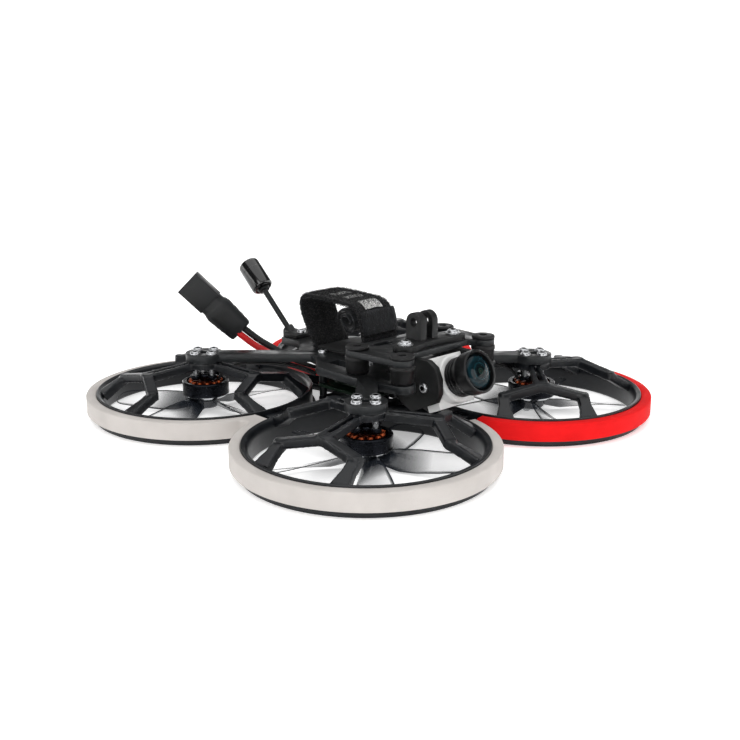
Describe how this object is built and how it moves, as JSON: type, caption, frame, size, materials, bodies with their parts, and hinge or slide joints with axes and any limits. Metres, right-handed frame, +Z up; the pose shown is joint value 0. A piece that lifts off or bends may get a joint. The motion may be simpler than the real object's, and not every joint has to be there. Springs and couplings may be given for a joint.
{
  "type": "fpv racing drone",
  "caption": "Small ducted racing drone: inverted motors in foam-edged guard rings under a cross-shaped plate, with a tilting camera and battery strap.",
  "frame": {"origin": "centre of the footprint on the ground", "axes": "nose along -Y, the craft's right side along -X, +Z up"},
  "size_m": [0.185, 0.185, 0.0532],
  "materials": {
    "carbon": "satin carbon fibre laminate",
    "duct_nylon": "satin moulded nylon",
    "black_nylon": "satin",
    "foam_grey": "closed cell foam strip, light grey",
    "foam_red": "closed cell foam strip, red",
    "motor_alloy": "dark anodised with bright cut edges",
    "copper_wire": "enamelled copper wire",
    "smoke_blades": "translucent smoke grey",
    "screw_steel": "machined",
    "damper_rubber": "matte",
    "printed_black": "fine layered print",
    "white_shell": "smooth white",
    "camera_black": "satin",
    "lens_glass": "coated glass",
    "board": "solder mask",
    "board_blue": "solder mask",
    "chips": "component packages",
    "heatsink_alloy": "cast fins",
    "button_white": "moulded",
    "capacitor_sleeve": "shrink sleeve",
    "lead_red": "silicone insulation",
    "lead_black": "silicone insulation",
    "sleeve_black": "heat shrink",
    "gloss_black": "glossy",
    "pad_rubber": "grippy sheet",
    "webbing_black": "hook and loop webbing",
    "webbing_dark": "hook and loop webbing"
  },
  "bodies": {
    "frame": {"arm_plate": "carbon", "upper_plate": "carbon", "bottom_plate": "carbon", "stack_posts": "screw_steel", "stack_spacers": "black_nylon", "duct_front_right": "duct_nylon", "duct_rear_right": "duct_nylon", "duct_front_left": "duct_nylon", "duct_rear_left": "duct_nylon", "foam_right": "foam_grey", "foam_left": "foam_red", "motor_base_front_right": "motor_alloy", "motor_base_rear_right": "motor_alloy", "motor_base_front_left": "motor_alloy", "motor_base_rear_left": "motor_alloy", "windings_front_right": "copper_wire", "windings_rear_right": "copper_wire", "windings_front_left": "copper_wire", "windings_rear_left": "copper_wire", "motor_screws": "screw_steel", "dampers": "damper_rubber", "action_camera_mount": "printed_black", "mount_screws": "screw_steel", "camera_cheeks": "printed_black", "camera_screws": "screw_steel", "flight_controller": "board", "board_components": "chips", "video_transmitter": "board", "heatsink": "heatsink_alloy", "receiver": "board_blue", "capacitor": "capacitor_sleeve", "motor_leads": "lead_black", "power_lead_red": "lead_red", "power_lead_black": "lead_black", "power_plug": "black_nylon", "plug_sleeve": "sleeve_black", "antenna_stalk": "sleeve_black", "antenna_cap": "gloss_black", "antenna_mount": "printed_black", "battery_pad": "pad_rubber", "strap": "webbing_black", "strap_tail": "webbing_dark", "strap_keeper": "webbing_dark"},
    "rotor_front_right": {"motor_bell_front_right": "motor_alloy", "propeller_front_right": "smoke_blades", "prop_screws_front_right": "screw_steel"},
    "rotor_rear_right": {"motor_bell_rear_right": "motor_alloy", "propeller_rear_right": "smoke_blades", "prop_screws_rear_right": "screw_steel"},
    "rotor_front_left": {"motor_bell_front_left": "motor_alloy", "propeller_front_left": "smoke_blades", "prop_screws_front_left": "screw_steel"},
    "rotor_rear_left": {"motor_bell_rear_left": "motor_alloy", "propeller_rear_left": "smoke_blades", "prop_screws_rear_left": "screw_steel"},
    "camera": {"camera_shell": "white_shell", "camera_back": "camera_black", "lens_barrel": "camera_black", "lens_glass": "lens_glass"},
    "bind_button": {"bind_button": "button_white"}
  },
  "joints": [
    {"name": "spin_front_right", "type": "hinge", "parent": "frame", "child": "rotor_front_right", "pos_m": [-0.046, -0.046, 0.009], "axis": [0, 0, 1], "continuous": true},
    {"name": "spin_rear_right", "type": "hinge", "parent": "frame", "child": "rotor_rear_right", "pos_m": [-0.046, 0.046, 0.009], "axis": [0, 0, 1], "continuous": true},
    {"name": "spin_front_left", "type": "hinge", "parent": "frame", "child": "rotor_front_left", "pos_m": [0.046, -0.046, 0.009], "axis": [0, 0, 1], "continuous": true},
    {"name": "spin_rear_left", "type": "hinge", "parent": "frame", "child": "rotor_rear_left", "pos_m": [0.046, 0.046, 0.009], "axis": [0, 0, 1], "continuous": true},
    {"name": "camera_tilt", "type": "hinge", "parent": "frame", "child": "camera", "pos_m": [0, -0.0415, 0.0204], "axis": [1, 0, 0], "range_deg": [-20, 15]},
    {"name": "bind_press", "type": "slide", "parent": "frame", "child": "bind_button", "axis": [0, -1, 0], "range_m": [0, 0.0003], "stiffness_N_per_m": 1500}
  ]
}
